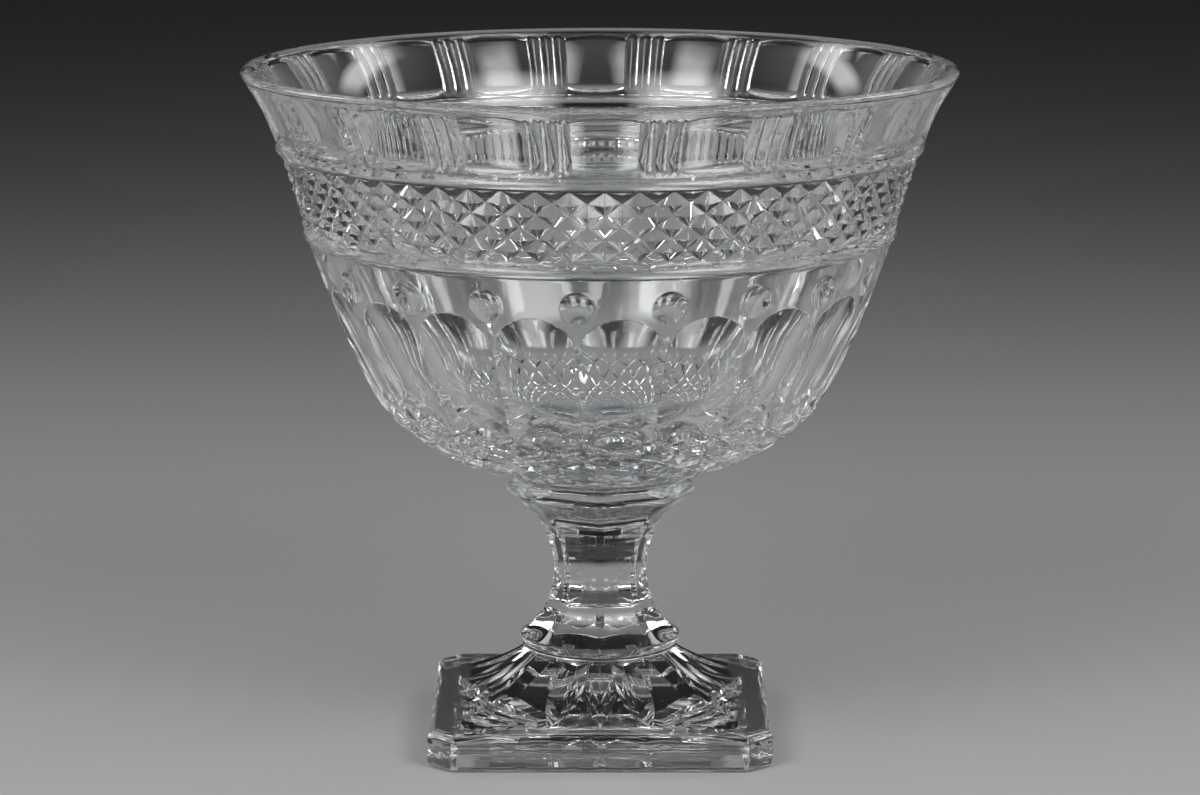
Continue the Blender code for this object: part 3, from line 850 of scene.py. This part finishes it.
def build_bond(materials):
    """The film of clear adhesive, with a slightly hollow edge."""
    shell = Shell()
    rings = []
    for share in np.linspace(0, 1, FILM_STEPS):
        radius = BOND_RADIUS - BOND_THICKNESS * math.sin(math.pi * share) / 2
        rings.append(shell.round_ring(RING_COLUMNS // 2, radius, mix(BOND_LOW.z, BOND_HIGH.z, share)))
    shell.chain(rings, JOINT)
    shell.cap(rings[0], BOND_LOW.z, JOINT)
    shell.cap(rings[-1], BOND_HIGH.z, JOINT)
    shell.piece("clear_bond", materials, "clear_adhesive", "bond")


# Materials

class Nodes:
    """Short ways to add and link the nodes of one material, lamp or world."""

    def __init__(self, owner):
        owner.use_nodes = True
        self.tree = owner.node_tree
        self.tree.nodes.clear()

    def add(self, kind, inputs=None, **settings):
        node = self.tree.nodes.new(kind)
        for name, value in settings.items():
            setattr(node, name, value)
        for name, value in (inputs or {}).items():
            if isinstance(value, bpy.types.NodeSocket):
                self.tree.links.new(value, node.inputs[name])
            else:
                node.inputs[name].default_value = value
        return node

    def noise(self, scale, detail):
        """Cloudy values from 0 to 1, fixed to the object, with so many finer layers."""
        place = self.add("ShaderNodeTexCoord").outputs["Object"]
        node = self.add("ShaderNodeTexNoise", {"Vector": place, "Scale": scale, "Detail": detail})
        return node.outputs["Fac"]

    def ramp(self, value, low, high, start, end):
        """The value, moved from the range low to high into the range start to end."""
        node = self.add("ShaderNodeMapRange", {
            "Value": value, "From Min": low, "From Max": high, "To Min": start, "To Max": end})
        return node.outputs["Result"]

    def tint(self, value, tints):
        """A colour between two tints, by a value from 0 to 1."""
        node = self.add("ShaderNodeMix", data_type="RGBA")
        self.tree.links.new(value, node.inputs["Factor"])
        node.inputs[6].default_value = (*tints[0], 1)
        node.inputs[7].default_value = (*tints[1], 1)
        return node.outputs[2]


def glass(name, wave_scale):
    """Clear pressed glass with faint mould waves, a fine skin and a breath of cool tint."""
    material = bpy.data.materials.new(name)
    nodes = Nodes(material)
    waves = nodes.noise(wave_scale, detail=1)
    bump = nodes.add("ShaderNodeBump", {"Height": waves, "Strength": 1.0, "Distance": WAVE_HEIGHT})
    skin = nodes.noise(SKIN_SCALE, detail=3)
    shader = nodes.add("ShaderNodeBsdfPrincipled", {
        "Base Color": nodes.tint(nodes.noise(TINT_SCALE, detail=2), GLASS_TINTS),
        "Roughness": nodes.ramp(skin, *SKIN_RANGE, 0.0, GLASS_ROUGHNESS),
        "IOR": GLASS_IOR,
        "Transmission Weight": 1.0,
        "Normal": bump.outputs["Normal"],
    })
    shadow = nodes.add("ShaderNodeBsdfTransparent", {"Color": GLASS_SHADOW})
    path = nodes.add("ShaderNodeLightPath")
    both = nodes.add("ShaderNodeMixShader", {
        0: path.outputs["Is Shadow Ray"], 1: shader.outputs[0], 2: shadow.outputs[0]})
    nodes.add("ShaderNodeOutputMaterial", {"Surface": both.outputs[0]})
    return material


def joint_face(name):
    """A face wetted by the adhesive: light goes straight through, but for a faint haze of specks."""
    material = bpy.data.materials.new(name)
    nodes = Nodes(material)
    specks = nodes.ramp(nodes.noise(SPECK_SCALE, detail=3), *SPECK_RANGE, 0.0, 1.0)
    shader = nodes.add("ShaderNodeBsdfTransparent", {"Color": nodes.tint(specks, JOINT_TINTS)})
    nodes.add("ShaderNodeOutputMaterial", {"Surface": shader.outputs[0]})
    return material


def cured_adhesive(name):
    """Clear cured adhesive between two glass faces: little bending of light, and a faint milky haze."""
    material = bpy.data.materials.new(name)
    nodes = Nodes(material)
    haze = nodes.noise(HAZE_SCALE, detail=3)
    shader = nodes.add("ShaderNodeBsdfPrincipled", {
        "Base Color": nodes.tint(haze, ADHESIVE_TINTS),
        "Roughness": nodes.ramp(haze, *HAZE_RANGE, *ADHESIVE_ROUGHNESS),
        "IOR": ADHESIVE_IOR,
        "Transmission Weight": ADHESIVE_CLEARNESS,
    })
    nodes.add("ShaderNodeOutputMaterial", {"Surface": shader.outputs[0]})
    return material


def floor_material(name):
    """Pale matt floor with soft, hardly seen clouds."""
    material = bpy.data.materials.new(name)
    nodes = Nodes(material)
    shader = nodes.add("ShaderNodeBsdfPrincipled", {
        "Base Color": nodes.tint(nodes.noise(CLOUD_SCALE, detail=4), STUDIO_TINTS),
        "Roughness": STUDIO_ROUGHNESS,
        "Specular IOR Level": STUDIO_SHEEN,
    })
    nodes.add("ShaderNodeOutputMaterial", {"Surface": shader.outputs[0]})
    return material


# Studio

def add_floor():
    half = STUDIO_SIZE / 2
    corners = [(-half, -half, 0), (half, -half, 0), (half, half, 0), (-half, half, 0)]
    mesh = bpy.data.meshes.new("floor")
    mesh.from_pydata(corners, [], [(0, 1, 2, 3)])
    mesh.materials.append(floor_material("studio_floor"))
    floor = bpy.data.objects.new("floor", mesh)
    floor.location.z = FOOT_LOW.z - STUDIO_GAP
    bpy.context.scene.collection.objects.link(floor)


def add_softbox(name, place, width, height, brightness):
    """A soft lamp that looks at the middle of the object.

    The middle of its face is so many times as bright as white, and it fades towards its edges.
    """
    light = bpy.data.lights.new(name, "AREA")
    nodes = Nodes(light)
    place_on_lamp = nodes.add("ShaderNodeNewGeometry").outputs["Parametric"]
    split = nodes.add("ShaderNodeSeparateXYZ", {"Vector": place_on_lamp})
    fades = []
    for axis in ("X", "Y"):
        from_middle = nodes.add("ShaderNodeMath", {0: split.outputs[axis], 1: 0.5}, operation="SUBTRACT")
        away = nodes.add("ShaderNodeMath", {0: from_middle.outputs[0]}, operation="ABSOLUTE")
        fades.append(nodes.ramp(away.outputs[0], 0.5, 0.5 - LAMP_FADE, 0.0, 1.0))
    fade = nodes.add("ShaderNodeMath", {0: fades[0], 1: fades[1]}, operation="MULTIPLY")
    glow = nodes.add("ShaderNodeEmission", {"Strength": fade.outputs[0]})
    nodes.add("ShaderNodeOutputLight", {"Surface": glow.outputs[0]})
    light.shape = "RECTANGLE"
    light.size = width
    light.size_y = height
    light.energy = brightness * math.pi * width * height
    lamp = bpy.data.objects.new(name, light)
    lamp.location = place
    lamp.rotation_euler = (LAMP_TARGET - lamp.location).to_track_quat("-Z", "Y").to_euler()
    bpy.context.scene.collection.objects.link(lamp)


def add_world():
    """A dark room, a little lighter towards the horizon."""
    world = bpy.data.worlds.new("studio")
    bpy.context.scene.world = world
    nodes = Nodes(world)
    direction = nodes.add("ShaderNodeTexCoord").outputs["Generated"]
    up = nodes.add("ShaderNodeSeparateXYZ", {"Vector": direction}).outputs["Z"]
    colour = nodes.tint(nodes.ramp(up, 0.0, SKY_FADE, 0.0, 1.0), SKY_TINTS)
    sky = nodes.add("ShaderNodeBackground", {"Color": colour, "Strength": 1.0})
    nodes.add("ShaderNodeOutputWorld", {"Surface": sky.outputs[0]})


def add_camera():
    data = bpy.data.cameras.new("camera")
    data.sensor_width = CAMERA_SENSOR
    data.lens = CAMERA_LENS
    data.clip_end = CAMERA_REACH
    camera = bpy.data.objects.new("camera", data)
    bpy.context.scene.collection.objects.link(camera)
    camera.location = CAMERA_PLACE
    camera.rotation_euler = (math.radians(90 - CAMERA_DIP), 0, 0)
    bpy.context.scene.camera = camera


def set_light_paths(scene):
    """Enough bounces for light to pass through all the walls of the glass."""
    scene.view_settings.view_transform = "Standard"
    scene.cycles.max_bounces = 32
    scene.cycles.transmission_bounces = 28
    scene.cycles.glossy_bounces = 16
    scene.cycles.transparent_max_bounces = 48
    scene.cycles.caustics_refractive = False
    scene.cycles.caustics_reflective = False


def main():
    set_light_paths(bpy.context.scene)
    add_camera()
    add_world()
    add_floor()
    for name, lamp in LAMPS.items():
        add_softbox(name, *lamp)
    joint = joint_face("joint_face")
    adhesive = cured_adhesive("adhesive_fine")
    build_bowl([glass("bowl_glass_fine", BOWL_WAVES), joint])
    build_foot([glass("foot_glass_fine", FOOT_WAVES), joint])
    build_bond([adhesive, adhesive])


main()
